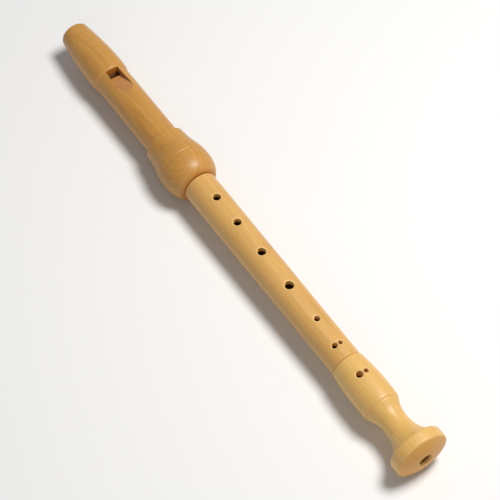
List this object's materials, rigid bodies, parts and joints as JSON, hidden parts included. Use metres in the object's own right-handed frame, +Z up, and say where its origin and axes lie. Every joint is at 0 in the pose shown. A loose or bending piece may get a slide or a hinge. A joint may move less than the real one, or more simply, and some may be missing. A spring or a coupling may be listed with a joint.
{
  "type": "soprano recorder",
  "caption": "Wooden duct flute in joints that turn and pull apart on cork-ringed tenons, with a beak, cedar block, window and labium, finger holes, a thumb hole and a bell.",
  "frame": {"origin": "under the middle of the instrument's length, on the surface that it lies on", "axes": "+X along the instrument from the beak to the bell, +Y across it to the player's left, +Z up through the finger holes"},
  "size_m": [0.33, 0.0296, 0.0295],
  "materials": {
    "head_wood": "satin lacquer over fine, straight-grained maple, a shade darker than the other joints",
    "body_wood": "satin lacquer over fine, straight-grained maple",
    "foot_wood": "satin lacquer over fine, straight-grained maple, end grain on the bell's face",
    "block_cedar": "bare red cedar",
    "cork": "bare cork, lightly greased"
  },
  "bodies": {
    "middle": {"middle_joint": "body_wood"},
    "upper_cork": {"upper_tenon_cork": "cork"},
    "head": {"head_joint": "head_wood"},
    "block": {"block": "block_cedar"},
    "lower_cork": {"lower_tenon_cork": "cork"},
    "foot": {"foot_joint": "foot_wood"}
  },
  "joints": [
    {"name": "head_turn", "type": "hinge", "parent": "middle", "child": "upper_cork", "pos_m": [-0.0447, 0, 0.01477], "axis": [1, 0, 0], "continuous": true},
    {"name": "head_pull", "type": "slide", "parent": "upper_cork", "child": "head", "axis": [-1, 0, 0], "range_m": [0, 0.032]},
    {"name": "block_slide", "type": "slide", "parent": "head", "child": "block", "axis": [-1, 0, 0], "range_m": [0, 0.044]},
    {"name": "foot_turn", "type": "hinge", "parent": "middle", "child": "lower_cork", "pos_m": [0.1049, 0, 0.01477], "axis": [1, 0, 0], "continuous": true},
    {"name": "foot_pull", "type": "slide", "parent": "lower_cork", "child": "foot", "axis": [1, 0, 0], "range_m": [0, 0.02]}
  ]
}
